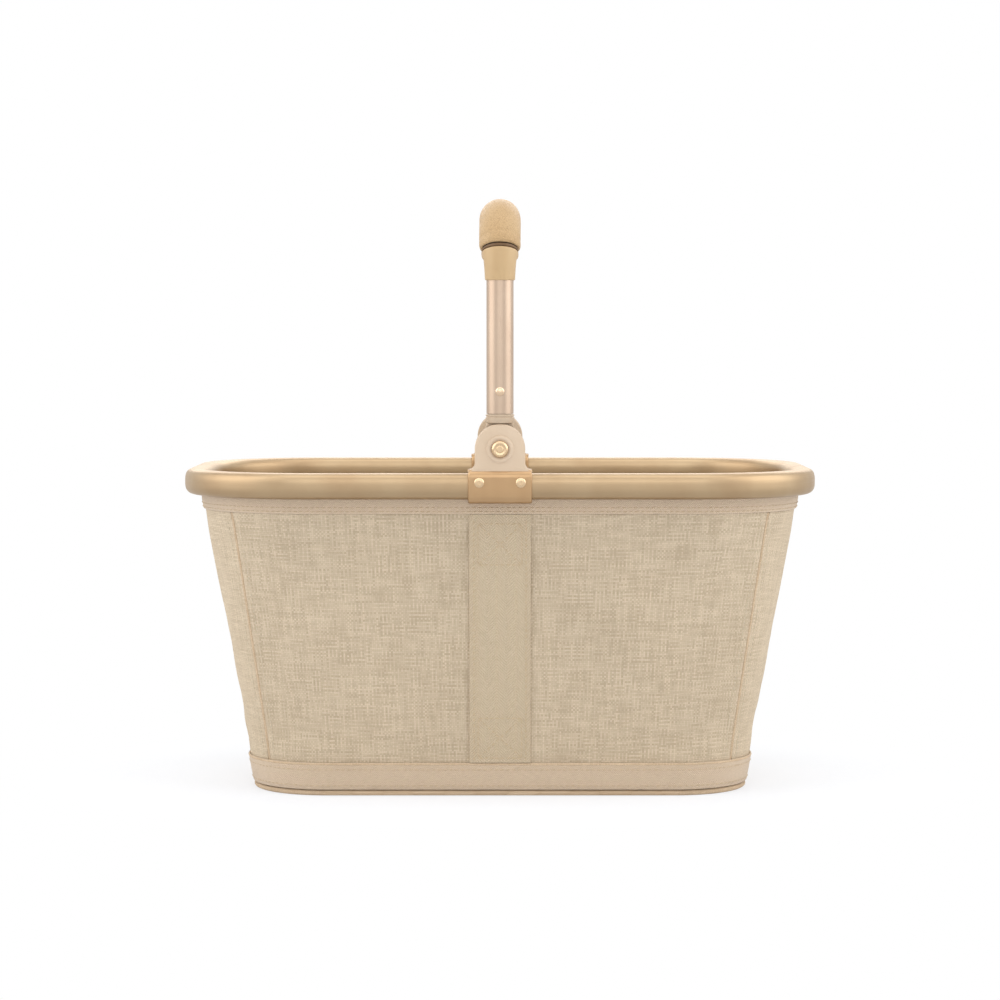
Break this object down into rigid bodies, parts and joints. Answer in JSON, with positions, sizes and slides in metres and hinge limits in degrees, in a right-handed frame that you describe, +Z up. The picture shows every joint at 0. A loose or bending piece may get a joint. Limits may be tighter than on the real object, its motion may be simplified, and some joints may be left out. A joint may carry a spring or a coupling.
{
  "type": "collapsible shopping basket",
  "caption": "Free-standing fabric shopping basket hung in an oval aluminium ring, with a folding padded handle, walls that fold flat and a stiff base that folds up.",
  "frame": {"origin": "middle of the base's underside, on the floor", "axes": "+Z up, +X along the basket's long side, -Y towards the side that the picture shows"},
  "size_m": [0.4738, 0.2888, 0.4387],
  "materials": {
    "rose_gold_aluminium": "satin",
    "plain_aluminium": "satin",
    "pale_gold_steel": "satin",
    "tan_plastic": "satin",
    "washer_plastic": "satin",
    "tan_leather": "satin",
    "grip_foam": "matte",
    "beige_cloth": "matte",
    "beige_tape": "matte",
    "tan_piping": "matte",
    "board_lining": "matte",
    "hook_and_loop": "matte"
  },
  "bodies": {
    "base": {"base_panel": "beige_cloth", "base_piping": "tan_piping", "base_binding": "beige_tape", "board_hinge_tape": "beige_tape", "loop_pad_left": "hook_and_loop", "loop_pad_right": "hook_and_loop", "wall_front": "beige_cloth", "wall_back": "beige_cloth", "wall_left": "beige_cloth", "wall_right": "beige_cloth", "seam_front_left": "beige_cloth", "seam_front_right": "beige_cloth", "seam_back_left": "beige_cloth", "seam_back_right": "beige_cloth", "strap_front": "beige_tape", "strap_back": "beige_tape"},
    "rim": {"rim_left": "rose_gold_aluminium", "rim_right": "rose_gold_aluminium", "rim_splice_front": "plain_aluminium", "rim_splice_back": "plain_aluminium", "rim_hem": "beige_tape", "cover_front_outer": "tan_plastic", "cover_front_inner": "tan_plastic", "cover_back_outer": "tan_plastic", "cover_back_inner": "tan_plastic", "cover_screw_front_left": "pale_gold_steel", "cover_screw_front_right": "pale_gold_steel", "cover_screw_back_left": "pale_gold_steel", "cover_screw_back_right": "pale_gold_steel", "pivot_pin_front": "pale_gold_steel", "pivot_pin_back": "pale_gold_steel", "pivot_cap_front": "pale_gold_steel", "pivot_cap_back": "pale_gold_steel", "pivot_washer_outer_front": "washer_plastic", "pivot_washer_inner_front": "washer_plastic", "pivot_washer_outer_back": "washer_plastic", "pivot_washer_inner_back": "washer_plastic"},
    "handle": {"handle_tube": "rose_gold_aluminium", "handle_foot_front": "tan_plastic", "handle_foot_back": "tan_plastic", "handle_rivet_front": "rose_gold_aluminium", "handle_rivet_back": "rose_gold_aluminium", "grip_core": "grip_foam", "grip_cover": "tan_leather", "grip_collar_front": "tan_plastic", "grip_collar_back": "tan_plastic"},
    "board_left": {"base_board_left": "board_lining", "hook_pad_left": "hook_and_loop", "pull_tab_left": "beige_tape"},
    "board_right": {"base_board_right": "board_lining", "hook_pad_right": "hook_and_loop", "pull_tab_right": "beige_tape"}
  },
  "joints": [
    {"name": "collapse", "type": "slide", "parent": "base", "child": "rim", "axis": [0, 0, 1], "range_m": [-0.185, 0], "deforming": ["wall_front", "wall_back", "wall_left", "wall_right", "seam_front_left", "seam_front_right", "seam_back_left", "seam_back_right", "strap_front", "strap_back"]},
    {"name": "handle_fold", "type": "hinge", "parent": "rim", "child": "handle", "pos_m": [0, 0, 0.2577], "axis": [0, 1, 0], "range_deg": [-90, 90]},
    {"name": "board_left_lift", "type": "hinge", "parent": "base", "child": "board_left", "pos_m": [0, 0, 0.0087], "axis": [0, 1, 0], "range_deg": [0, 85]},
    {"name": "board_right_lift", "type": "hinge", "parent": "base", "child": "board_right", "pos_m": [0, 0, 0.0087], "axis": [0, -1, 0], "range_deg": [0, 85]}
  ]
}
